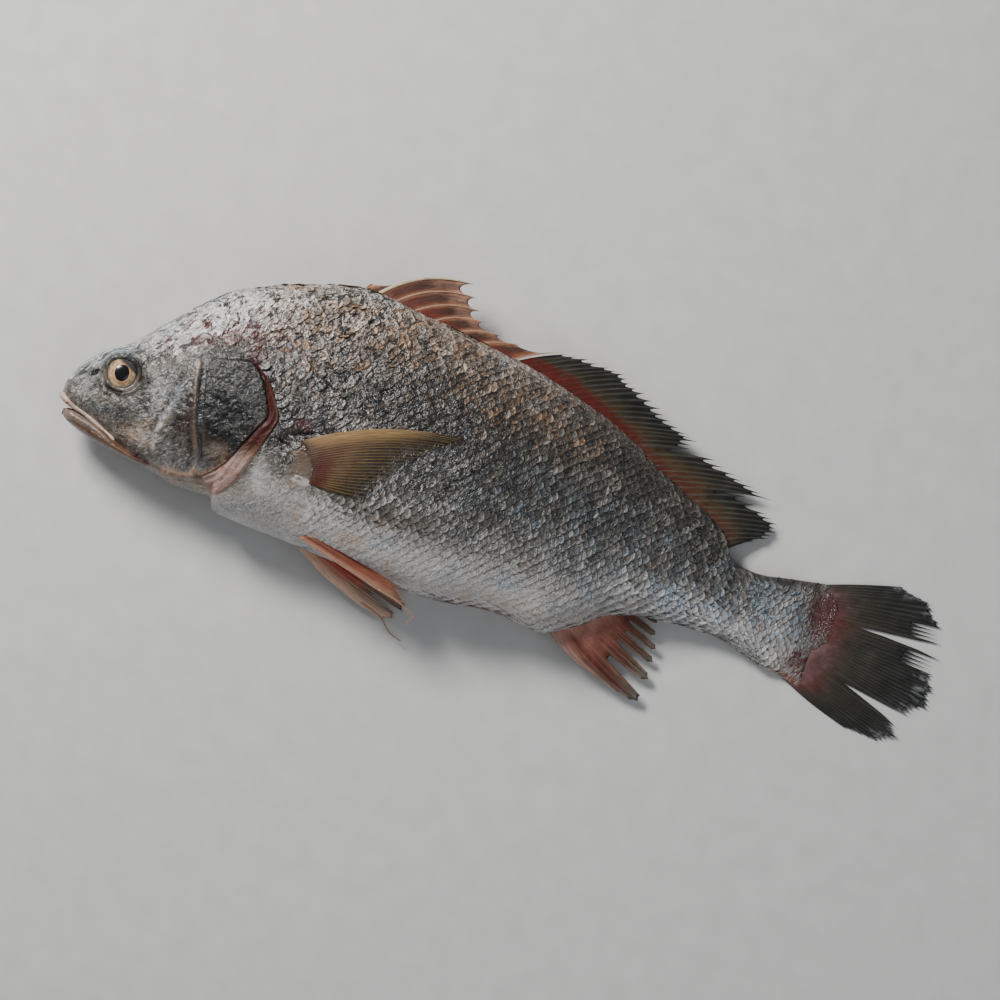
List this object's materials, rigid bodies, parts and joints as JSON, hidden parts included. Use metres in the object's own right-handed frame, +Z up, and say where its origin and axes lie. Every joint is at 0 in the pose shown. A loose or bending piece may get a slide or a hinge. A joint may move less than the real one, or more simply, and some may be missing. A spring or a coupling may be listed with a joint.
{
  "type": "whole raw fish",
  "caption": "Whole raw drum-type fish lying on its right flank: scaled silver-brown body, gill cover, eye, slightly open mouth, ragged fins and a split tail fin.",
  "frame": {"origin": "on the floor, below the middle of the fish's box", "axes": "+X from the snout to the tail, +Y from the belly to the back, +Z up through the left flank, which faces up"},
  "size_m": [0.5538, 0.218, 0.0739],
  "materials": {
    "skin": "wet scales over dark olive-grey to silver skin",
    "fin": "wet thin membrane between pale rays, red at the root",
    "eye": "wet gold-brown iris round a black pupil"
  },
  "bodies": {
    "root": {"fish": "skin"}
  },
  "joints": []
}
